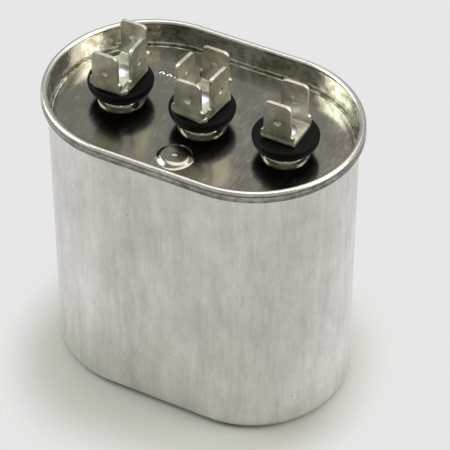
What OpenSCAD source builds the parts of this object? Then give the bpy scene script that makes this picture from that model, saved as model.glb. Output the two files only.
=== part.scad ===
// Motor run capacitor: an oval drawn can, a double-seamed lid and three quick-connect terminals.
// The origin is the centre of the base, +Z is up and +X runs along the oval to the fan terminal.
// All sizes are in millimetres and all angles in degrees.

/* [Can] */
// Length of the drawn can over its round ends
can_length = 71.2; // [66:0.2:90]
// Width of the drawn can over its flat sides
can_width = 45.8; // [42:0.2:56]
// Height of the case from its base to the top of the seam
case_height = 73; // [60:0.5:130]
// Thickness of the drawn wall
can_wall = 0.35; // [0.25:0.05:0.6]
// Thickness of the flat bottom
can_floor = 0.5; // [0.35:0.05:1]
// Outer radius where the wall turns into the bottom
base_radius = 2.2; // [1.2:0.1:4]
// How far the wall opens out below the seam
can_flare = 0.4; // [0.2:0.05:0.8]

/* [Double seam] */
// Height of the rolled seam
seam_height = 2.7; // [2.3:0.1:3.6]
// Play between the five rolled layers
seam_gap = 0.025; // [0.01:0.005:0.04]

/* [Lid] */
// Thickness of the tinplate
lid_sheet = 0.25; // [0.2:0.01:0.32]
// Depth of the countersink groove under the top of the seam
countersink_depth = 7; // [5.5:0.1:9]
// Clear width of the countersink groove
groove_width = 0.6; // [0.4:0.05:1]
// Height of the flat panel over the bottom of the groove
panel_rise = 1; // [0.95:0.05:2]
// Radius of the panel's rolled edge
panel_edge_radius = 0.55; // [0.4:0.05:0.6]
// Radius of the round boss under each terminal
boss_radius = 5.4; // [5:0.1:6.5]
// Height of the boss over the panel
boss_height = 1.9; // [1.5:0.1:2.4]
// Radius of the boss's rounded shoulder
boss_round = 1.3; // [0.6:0.1:1.4]

/* [Fill port] */
// Distance of the fill port from the long axis
fill_offset = 12.6; // [11:0.1:14]
// Radius of the raised fill button at the panel
fill_radius = 4.4; // [3.4:0.1:4.8]
// Radius of the fill button's flat top
fill_top_radius = 2.5; // [1.6:0.1:2.8]
// Height of the fill button
fill_height = 0.8; // [0.4:0.1:1.2]
// Radius of the hole that the plug closes
fill_hole_radius = 0.5; // [0.4:0.05:0.7]
// Radius of the plug's head
plug_head_radius = 0.95; // [0.85:0.05:1.4]
// Height of the plug's head
plug_head_height = 0.5; // [0.3:0.05:0.8]

/* [Terminal marks] */
// Number of plain raised pips in the row behind the compressor terminal
mark_count = 4; // [2:1:5]
// Distance from pip to pip
mark_pitch = 1.9; // [1.5:0.1:2.2]
// Radius of a pip
mark_radius = 0.6; // [0.4:0.05:0.7]
// Height of a pip over the panel
mark_height = 0.35; // [0.2:0.05:0.6]
// Distance of the row from the long axis
mark_offset = 11.6; // [10:0.1:14]
// Distance of the row's middle from the compressor terminal
mark_shift = 6.8; // [4:0.1:8]

/* [Terminals] */
// Distance from terminal to terminal
terminal_pitch = 20.32; // [17:0.1:21.5]
// Largest radius of the moulded insulator
insulator_radius = 7.4; // [6.6:0.1:8]
// Height of the insulator over the boss
insulator_height = 3.7; // [3.2:0.1:4.6]
// Radius of the insulator's rounded flank
insulator_flank = 3.4; // [3.3:0.1:4]
// Height of the straight band above the flank
insulator_band = 0.6; // [0.4:0.1:1]
// Radius of the insulator's top edge
insulator_edge = 0.4; // [0.2:0.05:0.6]
// Radius of the neck that passes through the lid
neck_radius = 2.6; // [2.4:0.1:3]
// Thickness of the rubber seal under the lid
seal_thickness = 2; // [1.6:0.1:2.6]
// Thickness of the insulating washer inside the case
washer_thickness = 1.2; // [0.8:0.1:2]
// Radius of the rivet's shank
rivet_radius = 1.5; // [1.2:0.1:1.7]
// Radius of the rivet's head and of its spread tail
rivet_head_radius = 2.4; // [2.2:0.1:2.6]
// Height of the rivet's head
rivet_head_height = 0.8; // [0.5:0.1:1.2]
// Thickness of the rivet's spread tail
rivet_tail = 0.8; // [0.5:0.1:1.2]
// Play between a pin and its hole, or a disc and its wall
fit_gap = 0.05; // [0.02:0.01:0.1]

/* [Tabs] */
// Thickness of the tab strip
tab_thickness = 0.8; // [0.7:0.02:0.85]
// Width of a quick-connect blade
blade_width = 6.35; // [6.2:0.05:6.4]
// Width of the strip below the blade's shoulders
strip_width = 7.7; // [7:0.1:7.9]
// Height of the shoulders over the strip's underside
shoulder_height = 2.9; // [2.4:0.1:3.4]
// Height of the tips of the fan and side tabs over the strip's underside
tab_height = 10.7; // [10:0.1:12]
// Height of the tips of the wide tabs over the strip's underside
wide_tab_height = 9.8; // [9.4:0.1:11]
// Radius of the blade's top corners
corner_radius = 1.1; // [0.6:0.1:1.6]
// Inner radius of the strip's bends
bend_radius = 0.4; // [0.2:0.05:0.5]
// Distance over the outer faces of the fan tabs
fan_spread = 9; // [8.6:0.1:10]
// Distance over the outer faces of the wide tabs
wide_spread = 13.6; // [13:0.1:14.2]
// Distance over the outer faces of the cross tabs
cross_spread = 9.6; // [9.4:0.1:10]
// Angle by which the common terminal's cross tabs are riveted out of square
cross_turn = -6.6; // [-7:0.2:7]
// Width of the waist where the wide strip crosses the cross strip
waist_width = 6.2; // [5.8:0.1:6.3]
// Distance of the detent from the blade's tip
detent_drop = 4.8; // [4:0.1:5.2]
// Radius of the pressed detent
detent_radius = 0.9; // [0.7:0.05:1.1]
// Depth of the detent in the outer face and its height on the inner one
detent_depth = 0.35; // [0.2:0.05:0.5]

/* [Wound element] */
// Wall of the insulating liner
liner_wall = 0.6; // [0.4:0.1:1]
// Thickness of the insulating disc under the element
bottom_disc = 2; // [1.5:0.1:3]
// Thickness of the insulating disc over the element
top_disc = 1.6; // [1:0.1:2.4]
// Space for the leads between the top disc and the terminals
lead_space = 7.8; // [6.5:0.1:10]
// Play round the liner and round the element
element_gap = 0.2; // [0.1:0.05:0.4]
// Outer radius of the flattened core tube's ends
core_radius = 3.4; // [3:0.1:3.8]
// Wall of the core tube
core_wall = 0.8; // [0.5:0.1:1]
// Thickness of the fan section's winding
fan_winding_depth = 3.4; // [3:0.1:4.5]
// Thickness of the barrier wrap between the two sections
barrier_wall = 0.4; // [0.2:0.1:0.8]
// Height of the core and the barrier over the element's sprayed end
core_standout = 2.3; // [1.5:0.1:4]
// Thickness of the sprayed zinc ends
spray_thickness = 0.6; // [0.3:0.1:1]

/* [Leads] */
// Thickness of the lead strip
lead_thickness = 0.3; // [0.2:0.05:0.4]
// Width of the lead strip
lead_width = 3; // [2:0.1:3.4]
// Radius of the lead's riveted eye
eye_radius = 3.2; // [2.8:0.1:3.6]
// Distance of a lead's riser from its terminal's axis
riser_offset = 4.4; // [4.2:0.1:4.6]
// Length of the feet soldered to the compressor section and to the common end
foot_length = 6; // [4:0.5:9]
// Distance of a soldered foot from the edge of its sprayed end
foot_margin = 0.5; // [0.4:0.1:0.7]

/* [Hidden] */
$fn = 96;

// Plan of the case: an oval made of two half circles that stand "span" apart.
span = can_length - can_width;
can_radius = can_width / 2;
bore_radius = can_radius - can_wall;

// Section of the double seam, from the inner layer to the outer one.
flare_radius = can_radius + can_flare;
seam_inner = flare_radius - can_wall - seam_gap - lid_sheet;
seam_outer = flare_radius + 3 * seam_gap + 2 * lid_sheet + can_wall;
seam_middle = (seam_inner + seam_outer) / 2;
seam_half = (seam_outer - seam_inner) / 2;
seam_top = case_height - seam_half;
cover_hook = flare_radius + seam_gap;
hook_middle = (cover_hook + seam_outer) / 2;
hook_half = (seam_outer - cover_hook) / 2;
seam_low = case_height - seam_height;
seam_bottom = seam_low + hook_half;

// Section of the lid inside the seam.
sink_z = case_height - countersink_depth;
groove_radius = groove_width / 2;
groove_z = sink_z + groove_radius;
sink_wall = bore_radius - seam_gap - lid_sheet;
leg_face = sink_wall - groove_width;
panel_z = sink_z + panel_rise;
panel_under = panel_z - lid_sheet;
panel_edge = leg_face - panel_edge_radius;
boss_top = panel_z + boss_height;

// Heights of the terminal stack, from the boss down and up.
insulator_top = boss_top + insulator_height;
second_strip = insulator_top + tab_thickness;
seal_top = boss_top - lid_sheet;
washer_top = seal_top - seal_thickness;
eye_top = washer_top - washer_thickness;
eye_low = eye_top - lead_thickness;
seal_radius = boss_radius - boss_round;
washer_radius = boss_radius - lid_sheet - 3 * fit_gap;
bend_outer = bend_radius + tab_thickness;

// Places of the terminals along the oval.
fan_x = terminal_pitch;
common_x = 0;
compressor_x = -terminal_pitch;

// Heights and radii of the wound element inside the liner.
liner_radius = bore_radius - element_gap;
liner_top = sink_z - lid_sheet - element_gap;
element_radius = liner_radius - liner_wall - element_gap;
element_low = can_floor + max(bottom_disc, base_radius - can_wall);
film_low = element_low + spray_thickness;
top_disc_high = eye_top - lead_space;
top_disc_low = top_disc_high - top_disc;
spray_top = top_disc_low - core_standout;
film_top = spray_top - spray_thickness;
fan_section_radius = core_radius + fan_winding_depth;
barrier_radius = fan_section_radius + barrier_wall;

// Paths of the leads: where each rises, as a distance from its terminal's axis.
fan_rise = fan_x - span / 2 - core_radius - foot_margin;
fan_foot = fan_winding_depth - 2 * foot_margin;
compressor_rise = barrier_radius + foot_margin;
common_rise = (core_radius - core_wall) / 2;
step_low = top_disc_high + lead_space / 4;
step_high = top_disc_high + lead_space / 2;
foot_z = spray_top + lead_thickness / 2;
common_foot_z = element_low - lead_thickness / 2;
eye_z = eye_top - lead_thickness / 2;

steel = [0.62, 0.61, 0.56];
plated_brass = [0.66, 0.63, 0.55];
zinc = [0.55, 0.56, 0.58];
film = [0.80, 0.78, 0.70];
fibre = [0.45, 0.33, 0.22];
black = [0.08, 0.08, 0.09];

// Sweeps a section, drawn as radius and height, right round the oval.
module oval_sweep() {
    for (turn = [0, 180]) {
        rotate([0, 0, turn]) {
            translate([span / 2, 0, 0])
                rotate([0, 0, -90])
                    rotate_extrude(angle = 180)
                        children();
            translate([-span / 2, 0, 0])
                rotate([90, 0, 90])
                    linear_extrude(height = span)
                        children();
        }
    }
}

// Rectangle of the section between two radii and two heights.
module band(inner, outer, low, high) {
    translate([inner, low])
        square([outer - inner, high - low]);
}

// Flat oval ring, or an oval disc where its inner radius is zero.
module oval_ring(inner, outer, low, high) {
    oval_sweep()
        band(inner, outer, low, high);
}

// Half of a rolled bend of sheet, open downwards, or upwards where up is -1.
module half_bend(middle, height, outer, sheet, up) {
    translate([middle, height])
        difference() {
            circle(r = outer);
            circle(r = outer - sheet);
            translate([-2 * outer, up > 0 ? -2 * outer : 0])
                square([4 * outer, 2 * outer]);
        }
}

// Filled section from the axis to a wall, with a round corner at the bottom.
module rounded_block(radius, corner, low, high) {
    band(0, radius - corner, low, high);
    band(0, radius, low + corner, high);
    translate([radius - corner, low + corner])
        circle(r = corner);
}

// Filled section of a round boss with a rounded shoulder.
module shouldered_block(radius, corner, low, high) {
    band(0, radius - corner, low, high);
    band(0, radius, low, high - corner);
    translate([radius - corner, high - corner])
        circle(r = corner);
}

module can() {
    color("silver")
        oval_sweep() {
            difference() {
                rounded_block(can_radius, base_radius, 0, groove_z);
                rounded_block(bore_radius, base_radius - can_wall, can_floor, case_height);
            }
            polygon([
                [bore_radius, groove_z],
                [can_radius, groove_z],
                [flare_radius, seam_low],
                [flare_radius - can_wall, seam_low]
            ]);
            band(flare_radius - can_wall, flare_radius, seam_low, seam_top);
            can_hook();
        }
}

// Flange of the can, rolled outwards and down inside the lid's curl.
module can_hook() {
    hook_bend = seam_half - lid_sheet - seam_gap;
    half_bend(seam_middle, seam_top, hook_bend, can_wall, 1);
    band(seam_middle + hook_bend - can_wall, seam_middle + hook_bend, seam_bottom, seam_top);
}

module lid() {
    color(steel) {
        difference() {
            union() {
                oval_sweep()
                    lid_section();
                at_terminals()
                    rotate_extrude()
                        shouldered_block(boss_radius, boss_round, panel_under, boss_top);
                fill_button();
                terminal_marks();
            }
            at_terminals() {
                rotate_extrude()
                    shouldered_block(boss_radius - lid_sheet, boss_round - lid_sheet, sink_z, seal_top);
                translate([0, 0, panel_under])
                    cylinder(r = neck_radius + fit_gap, h = boss_top);
            }
            fill_hollow();
        }
    }
}

// The lid's sheet from the cover hook, over the seam and down the groove to the flat panel.
module lid_section() {
    half_bend(seam_middle, seam_top, seam_half, lid_sheet, 1);
    half_bend(hook_middle, seam_bottom, hook_half, lid_sheet, -1);
    band(cover_hook, cover_hook + lid_sheet, seam_bottom, seam_top);
    band(seam_outer - lid_sheet, seam_outer, seam_bottom, seam_top);
    band(seam_inner, seam_inner + lid_sheet, seam_low, seam_top);
    polygon([
        [sink_wall, groove_z],
        [sink_wall + lid_sheet, groove_z],
        [seam_inner + lid_sheet, seam_low],
        [seam_inner, seam_low]
    ]);
    half_bend(sink_wall - groove_radius, groove_z, groove_radius + lid_sheet, lid_sheet, -1);
    band(leg_face - lid_sheet, leg_face, groove_z, panel_z - panel_edge_radius);
    intersection() {
        half_bend(panel_edge, panel_z - panel_edge_radius, panel_edge_radius, lid_sheet, 1);
        band(panel_edge, leg_face, groove_z, panel_z);
    }
    band(0, panel_edge, panel_under, panel_z);
}

module at_terminals() {
    for (x = [compressor_x, common_x, fan_x]) {
        translate([x, 0, 0])
            children();
    }
}

module fill_button() {
    translate([0, -fill_offset, panel_under])
        cylinder(r1 = fill_radius, r2 = fill_top_radius, h = lid_sheet + fill_height);
}

module fill_hollow() {
    translate([0, -fill_offset, panel_under - lid_sheet]) {
        cylinder(r1 = fill_radius, r2 = fill_top_radius, h = lid_sheet + fill_height);
        cylinder(r = fill_hole_radius + fit_gap, h = 3 * lid_sheet + fill_height);
    }
}

// A plain row of raised pips tells the compressor terminal from the others.
module terminal_marks() {
    first = compressor_x + mark_shift - (mark_count - 1) * mark_pitch / 2;
    for (i = [0 : mark_count - 1]) {
        translate([first + i * mark_pitch, mark_offset, panel_under])
            cylinder(r1 = mark_radius, r2 = mark_radius / 2, h = lid_sheet + mark_height);
    }
}

// Blind plug, pressed from above through the fill hole and spread inside.
module fill_plug() {
    seat = panel_z + fill_height;
    color(zinc)
        translate([0, -fill_offset, 0]) {
            translate([0, 0, seat])
                dome(plug_head_radius, plug_head_height);
            translate([0, 0, seat - 2 * lid_sheet])
                cylinder(r = fill_hole_radius, h = 2 * lid_sheet);
            translate([0, 0, seat - 2 * lid_sheet])
                cylinder(r = plug_head_radius - 4 * fit_gap, h = lid_sheet);
        }
}

// Low dome whose top is part of a sphere.
module dome(radius, height) {
    ball = (radius * radius + height * height) / (2 * height);
    rotate_extrude()
        intersection() {
            translate([0, height - ball])
                circle(r = ball);
            square([radius, height]);
        }
}

module insulator() {
    flank_middle = insulator_radius - insulator_flank;
    flank_z = insulator_top - insulator_band;
    color(black)
        difference() {
            union() {
                rotate_extrude()
                    intersection() {
                        union() {
                            band(0, flank_middle, boss_top, insulator_top);
                            translate([flank_middle, flank_z])
                                circle(r = insulator_flank);
                            band(0, insulator_radius, flank_z, insulator_top);
                        }
                        shouldered_block(insulator_radius, insulator_edge, boss_top, insulator_top);
                    }
                translate([0, 0, washer_top + fit_gap])
                    cylinder(r = neck_radius, h = boss_top - washer_top);
            }
            translate([0, 0, washer_top])
                cylinder(r = rivet_radius + fit_gap, h = insulator_top);
        }
}

// Ring of rubber that the rivet squeezes into the hollow of the boss.
module seal() {
    color([0.15, 0.14, 0.13])
        ring(neck_radius + fit_gap, seal_radius, washer_top, seal_thickness);
}

module washer() {
    color(fibre)
        ring(rivet_radius + fit_gap, washer_radius, eye_top, washer_thickness);
}

module ring(inner, outer, low, thickness) {
    translate([0, 0, low])
        difference() {
            cylinder(r = outer, h = thickness);
            translate([0, 0, -thickness])
                cylinder(r = inner, h = 3 * thickness);
        }
}

// Solid rivet through one or two strips, the insulator, the washer and the lead's eye.
module rivet(strips) {
    grip_top = insulator_top + strips * tab_thickness;
    color("gainsboro") {
        translate([0, 0, grip_top])
            dome(rivet_head_radius, rivet_head_height);
        translate([0, 0, eye_low])
            cylinder(r = rivet_radius, h = grip_top - eye_low);
        translate([0, 0, eye_low - rivet_tail])
            cylinder(r = rivet_head_radius, h = rivet_tail);
    }
}

// Outline of a tab, from the top of its bend to its tip.
module blade_outline(height) {
    translate([-strip_width / 2, bend_outer])
        square([strip_width, shoulder_height - bend_outer]);
    translate([-blade_width / 2, shoulder_height])
        square([blade_width, height - corner_radius - shoulder_height]);
    translate([corner_radius - blade_width / 2, shoulder_height])
        square([blade_width - 2 * corner_radius, height - shoulder_height]);
    for (side = [-1, 1]) {
        translate([side * (blade_width / 2 - corner_radius), height - corner_radius])
            circle(r = corner_radius);
    }
}

// One upright tab with its bend. Its outer face is at half the spread along +X.
module upright_tab(spread, height) {
    face = spread / 2;
    difference() {
        union() {
            translate([face - tab_thickness, 0, 0])
                rotate([90, 0, 90])
                    linear_extrude(height = tab_thickness)
                        blade_outline(height);
            translate([face - tab_thickness, 0, height - detent_drop])
                rotate([0, -90, 0])
                    cylinder(r1 = detent_radius, r2 = detent_radius / 2, h = detent_depth);
        }
        translate([face, 0, height - detent_drop])
            rotate([0, -90, 0])
                cylinder(r1 = detent_radius, r2 = detent_radius / 2, h = detent_depth);
    }
    translate([face - bend_outer, strip_width / 2, bend_outer])
        rotate([90, 0, 0])
            linear_extrude(height = strip_width)
                intersection() {
                    half_bend(0, 0, bend_outer, tab_thickness, -1);
                    translate([0, -bend_outer])
                        square(bend_outer);
                }
}

// Strip with a tab on each side given, its base drilled for the rivet.
module tab_strip(spread, height, base_width, sides) {
    flat = spread / 2 - bend_outer;
    color(plated_brass) {
        difference() {
            translate([-flat, -base_width / 2, 0])
                cube([2 * flat, base_width, tab_thickness]);
            translate([0, 0, -tab_thickness])
                cylinder(r = rivet_radius + fit_gap, h = 3 * tab_thickness);
        }
        for (side = sides) {
            rotate([0, 0, side])
                upright_tab(spread, height);
        }
    }
}

module fan_tabs() {
    translate([fan_x, 0, insulator_top])
        rotate([0, 0, 90])
            tab_strip(fan_spread, tab_height, strip_width, [0, 180]);
}

module wide_tabs() {
    translate([0, 0, second_strip])
        rotate([0, 0, 90])
            tab_strip(wide_spread, wide_tab_height, waist_width, [0, 180]);
}

module common_cross_tabs() {
    translate([common_x, 0, insulator_top])
        rotate([0, 0, cross_turn])
            tab_strip(cross_spread, tab_height, strip_width, [0, 180]);
}

module compressor_side_tab() {
    translate([compressor_x, 0, insulator_top])
        tab_strip(cross_spread, tab_height, strip_width, [0]);
}

// Ribbon of sheet along a path: straight runs with a round joint at each turn.
module ribbon(path, thickness) {
    for (i = [0 : len(path) - 2]) {
        run = path[i + 1] - path[i];
        translate(path[i])
            rotate(atan2(run[1], run[0])) {
                translate([0, -thickness / 2])
                    square([norm(run), thickness]);
                circle(d = thickness);
            }
    }
}

// Lead strip: a foot, a riser, a step out past the rivet's tail and an eye on the axis.
module lead(rise, foot_end, foot_height) {
    path = [
        [foot_end, foot_height],
        [rise, foot_height],
        [rise, step_low],
        [riser_offset, step_high],
        [riser_offset, eye_z],
        [0, eye_z]
    ];
    color("lightgray")
        difference() {
            union() {
                translate([0, lead_width / 2, 0])
                    rotate([90, 0, 0])
                        linear_extrude(height = lead_width)
                            ribbon(path, lead_thickness);
                translate([0, 0, eye_low])
                    cylinder(r = eye_radius, h = lead_thickness);
            }
            translate([0, 0, eye_low - lead_thickness])
                cylinder(r = rivet_radius + fit_gap, h = 3 * lead_thickness);
        }
}

module fan_lead() {
    translate([fan_x, 0, 0])
        rotate([0, 0, 180])
            lead(fan_rise, fan_rise - fan_foot, foot_z);
}

module compressor_lead() {
    translate([compressor_x, 0, 0])
        rotate([0, 0, 90])
            lead(compressor_rise, compressor_rise + foot_length, foot_z);
}

// The common lead starts under the element and comes up inside the core.
module common_lead() {
    translate([common_x, 0, 0])
        rotate([0, 0, 90])
            lead(common_rise, common_rise + foot_length, common_foot_z);
}

module liner() {
    color("ivory")
        oval_ring(liner_radius - liner_wall, liner_radius, element_low, liner_top);
}

// Moulded disc under the element, with a channel for the foot of the common lead.
module bottom_insulator() {
    color("ivory")
        difference() {
            oval_sweep()
                intersection() {
                    rounded_block(liner_radius, base_radius - can_wall, can_floor, case_height);
                    band(0, liner_radius, can_floor, element_low);
                }
            translate([
                common_x - lead_width / 2 - fit_gap,
                common_rise - lead_thickness / 2 - fit_gap,
                element_low - lead_thickness - fit_gap
            ])
                cube([
                    lead_width + 2 * fit_gap,
                    foot_length + lead_thickness + 2 * fit_gap,
                    bottom_disc
                ]);
        }
}

// Slot through the top disc for one lead, as its distance from the terminal's axis.
module lead_slot(offset) {
    slot_width = lead_width + 4 * fit_gap;
    slot_depth = lead_thickness + 4 * fit_gap;
    translate([offset - slot_depth / 2, -slot_width / 2, top_disc_low - top_disc])
        cube([slot_depth, slot_width, 3 * top_disc]);
}

module top_insulator() {
    color(fibre)
        difference() {
            oval_ring(0, element_radius, top_disc_low, top_disc_high);
            translate([fan_x, 0, 0])
                rotate([0, 0, 180])
                    lead_slot(fan_rise);
            translate([compressor_x, 0, 0])
                rotate([0, 0, 90])
                    lead_slot(compressor_rise);
            translate([common_x, 0, 0])
                rotate([0, 0, 90])
                    lead_slot(common_rise);
        }
}

module core_tube() {
    color("white")
        oval_ring(core_radius - core_wall, core_radius, element_low, top_disc_low);
}

module fan_winding() {
    color(film)
        oval_ring(core_radius, fan_section_radius, film_low, film_top);
}

module section_barrier() {
    color("khaki")
        oval_ring(fan_section_radius, barrier_radius, film_low, top_disc_low);
}

module compressor_winding() {
    color(film)
        oval_ring(barrier_radius, element_radius, film_low, film_top);
}

module common_end_spray() {
    color(zinc)
        oval_ring(core_radius, element_radius, element_low, film_low);
}

module fan_end_spray() {
    color(zinc)
        oval_ring(core_radius, fan_section_radius, film_top, spray_top);
}

module compressor_end_spray() {
    color(zinc)
        oval_ring(barrier_radius, element_radius, film_top, spray_top);
}

module along(x) {
    translate([x, 0, 0])
        children();
}

can();
lid();
fill_plug();
along(compressor_x) insulator();  // compressor_insulator
along(common_x) insulator();  // common_insulator
along(fan_x) insulator();  // fan_insulator
along(compressor_x) wide_tabs();  // compressor_wide_tabs
compressor_side_tab();
along(common_x) wide_tabs();  // common_wide_tabs
common_cross_tabs();
fan_tabs();
along(compressor_x) rivet(2);  // compressor_rivet
along(common_x) rivet(2);  // common_rivet
along(fan_x) rivet(1);  // fan_rivet
along(compressor_x) seal();  // compressor_seal
along(common_x) seal();  // common_seal
along(fan_x) seal();  // fan_seal
along(compressor_x) washer();  // compressor_washer
along(common_x) washer();  // common_washer
along(fan_x) washer();  // fan_washer
compressor_lead();
common_lead();
fan_lead();
liner();
bottom_insulator();
top_insulator();
core_tube();
fan_winding();
section_barrier();
compressor_winding();
common_end_spray();
fan_end_spray();
compressor_end_spray();
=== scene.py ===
import math

import bmesh
import bpy
from mathutils import Matrix, Vector, noise


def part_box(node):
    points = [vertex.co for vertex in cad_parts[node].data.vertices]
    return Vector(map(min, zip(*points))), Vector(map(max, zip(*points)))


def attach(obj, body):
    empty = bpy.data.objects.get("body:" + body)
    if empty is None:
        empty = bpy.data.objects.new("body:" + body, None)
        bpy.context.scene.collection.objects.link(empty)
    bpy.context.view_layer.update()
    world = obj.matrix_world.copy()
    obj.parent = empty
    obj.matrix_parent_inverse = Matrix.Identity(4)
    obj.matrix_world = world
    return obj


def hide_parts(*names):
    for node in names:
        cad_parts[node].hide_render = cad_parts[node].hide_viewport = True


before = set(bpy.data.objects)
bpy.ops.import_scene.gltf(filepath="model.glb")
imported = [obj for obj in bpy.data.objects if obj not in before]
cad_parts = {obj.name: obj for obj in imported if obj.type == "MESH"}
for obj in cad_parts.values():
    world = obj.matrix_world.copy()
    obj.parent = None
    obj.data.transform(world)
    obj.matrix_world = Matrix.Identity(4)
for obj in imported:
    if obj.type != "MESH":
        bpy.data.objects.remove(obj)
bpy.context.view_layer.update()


# Camera: a long lens that looks down on the capacitor from the front right, as at a thing on a table.
# The lens is long enough for the two ends of the oval to keep nearly the same size.
mm = 0.001


def heading(around, up):
    """The direction to a point this many degrees round from the front and up from level."""
    turn, lift = math.radians(around), math.radians(up)
    return Vector((math.sin(turn) * math.cos(lift), -math.cos(turn) * math.cos(lift), math.sin(lift)))


target = Vector((-0.252, 11.137, 27.912))
camera_distance = 572.67
toward_camera = heading(27.6135, 42.3608)
camera = bpy.data.objects.new("camera", bpy.data.cameras.new("camera"))
camera.data.sensor_width = 36
camera.data.lens = 197.2
camera.location = target * mm + toward_camera * camera_distance * mm
camera.rotation_euler = (-toward_camera).to_track_quat("-Z", "Y").to_euler()
bpy.context.collection.objects.link(camera)
bpy.context.scene.camera = camera
bpy.context.scene.view_settings.view_transform = "Standard"


# Studio: pale round the horizon and dim overhead, with round soft boxes above and on both sides.
# The back is left dim, so that the flat lid mirrors a mid grey between the bright boxes.
def linear(hex_colour):
    """Turns an sRGB hex colour into the linear values that a shader takes."""
    parts = [int(hex_colour[i:i + 2], 16) / 255 for i in (1, 3, 5)]
    return [p / 12.92 if p <= 0.04045 else ((p + 0.055) / 1.055) ** 2.4 for p in parts] + [1]


def add_node(tree, kind, settings=None, inputs=None):
    """Adds a node, sets what it is told to, and links or sets its inputs."""
    node = tree.nodes.new(kind)
    for name, value in (settings or {}).items():
        setattr(node, name, value)
    for name, value in (inputs or {}).items():
        if isinstance(value, bpy.types.NodeSocket):
            tree.links.new(value, node.inputs[name])
        else:
            node.inputs[name].default_value = value
    return node


def sort_rays(tree):
    """The kinds of ray, and 1 for each that shows the background: straight, mirrored or through glass."""
    ray = add_node(tree, "ShaderNodeLightPath")
    straight = add_node(tree, "ShaderNodeMath", {"operation": "MAXIMUM"}, {
        0: ray.outputs["Is Camera Ray"], 1: ray.outputs["Is Glossy Ray"],
    })
    shown = add_node(tree, "ShaderNodeMath", {"operation": "MAXIMUM"}, {
        0: straight.outputs[0], 1: ray.outputs["Is Transmission Ray"],
    })
    return ray, shown.outputs[0]


pale = "#e7e7e7"
dim = "#c2c1bf"
haze_top = 0.12
world = bpy.data.worlds.new("studio")
bpy.context.scene.world = world
world.use_nodes = True
tree = world.node_tree
tree.nodes.clear()
direction = add_node(tree, "ShaderNodeTexCoord")
height = add_node(tree, "ShaderNodeSeparateXYZ", None, {0: direction.outputs["Generated"]})
ceiling = add_node(tree, "ShaderNodeMapRange", {"interpolation_type": "SMOOTHSTEP"}, {
    "Value": height.outputs["Z"], "From Max": haze_top,
})
room = add_node(tree, "ShaderNodeMix", {"data_type": "RGBA"}, {
    "Factor": ceiling.outputs[0], 6: linear(pale), 7: linear(dim),
})
seen = add_node(tree, "ShaderNodeBackground", None, {"Color": room.outputs[2], "Strength": 1})
fill = add_node(tree, "ShaderNodeBackground", None, {"Color": linear("#bcbcbc"), "Strength": 0.5})
ray, shown = sort_rays(tree)
light = add_node(tree, "ShaderNodeMixShader", None, {0: shown, 1: fill.outputs[0], 2: seen.outputs[0]})
add_node(tree, "ShaderNodeOutputWorld", None, {"Surface": light.outputs[0]})

# Name, degrees round from the front, degrees up, metres away, metres across, watts and colour.
soft_boxes = [
    ("top_box", 172, 74, 0.9, 0.95, 5.6, "#fffdfb"),
    ("left_box", -78, 38, 0.8, 0.56, 5.2, "#f8fbf8"),
    ("key_box", 106, 38, 0.9, 0.58, 5.0, "#fffbf5"),
    ("front_box", 26, 44, 0.9, 0.135, 0.15, "#fbffe9"),
]
for name, around, up, away, size, watts, colour in soft_boxes:
    lamp = bpy.data.objects.new(name, bpy.data.lights.new(name, "AREA"))
    lamp.data.shape = "DISK"
    lamp.data.size = size
    lamp.data.energy = watts
    lamp.data.color = linear(colour)[:3]
    lamp.location = heading(around, up) * away
    lamp.rotation_euler = heading(around, up).to_track_quat("Z", "Y").to_euler()
    lamp.visible_camera = False
    bpy.context.collection.objects.link(lamp)


# Floor: plain matt white board under the capacitor, which keeps its soft shadow.
# Further out it goes over into the pale background, which the metal mirrors a little dimmer in front.
lid_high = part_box("lid")[1]
half_span = lid_high.x - lid_high.y


def from_centre_line(tree, point, half_length):
    """Distance of a point, as seen from above, from the line between the centres of an oval's ends."""
    folded = add_node(tree, "ShaderNodeVectorMath", {"operation": "ABSOLUTE"}, {0: point})
    beyond = add_node(tree, "ShaderNodeVectorMath", {"operation": "SUBTRACT"}, {
        0: folded.outputs[0], 1: (half_length, 0, 1),
    })
    outside = add_node(tree, "ShaderNodeVectorMath", {"operation": "MAXIMUM"}, {
        0: beyond.outputs[0], 1: (0, 0, 0),
    })
    distance = add_node(tree, "ShaderNodeVectorMath", {"operation": "LENGTH"}, {0: outside.outputs[0]})
    return distance.outputs["Value"]


bm = bmesh.new()
bmesh.ops.create_circle(bm, cap_ends=True, radius=4, segments=96)
floor_mesh = bpy.data.meshes.new("floor")
bm.to_mesh(floor_mesh)
bm.free()
floor = bpy.data.objects.new("floor", floor_mesh)
bpy.context.collection.objects.link(floor)

# Matt white board: it shows only the soft shadow, and turns into the background sooner past the ends.
board = bpy.data.materials.new("matt_white_board")
board.use_nodes = True
tree = board.node_tree
tree.nodes.clear()
place = add_node(tree, "ShaderNodeTexCoord").outputs["Object"]
narrowed = 1.3
laid = add_node(tree, "ShaderNodeMapping", None, {
    "Vector": place, "Location": (0, 5 * mm, 0), "Scale": (narrowed, 1, 1),
})
far = add_node(tree, "ShaderNodeMapRange", {"interpolation_type": "SMOOTHSTEP"}, {
    "Value": from_centre_line(tree, laid.outputs[0], narrowed * half_span),
    "From Min": 26 * mm, "From Max": 45 * mm,
})
ray, shown = sort_rays(tree)
background = add_node(tree, "ShaderNodeMath", {"operation": "MULTIPLY"}, {0: far.outputs[0], 1: shown})
surface = add_node(tree, "ShaderNodeBsdfPrincipled", None, {
    "Base Color": linear("#b1b2ab"), "Roughness": 0.6,
})
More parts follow.
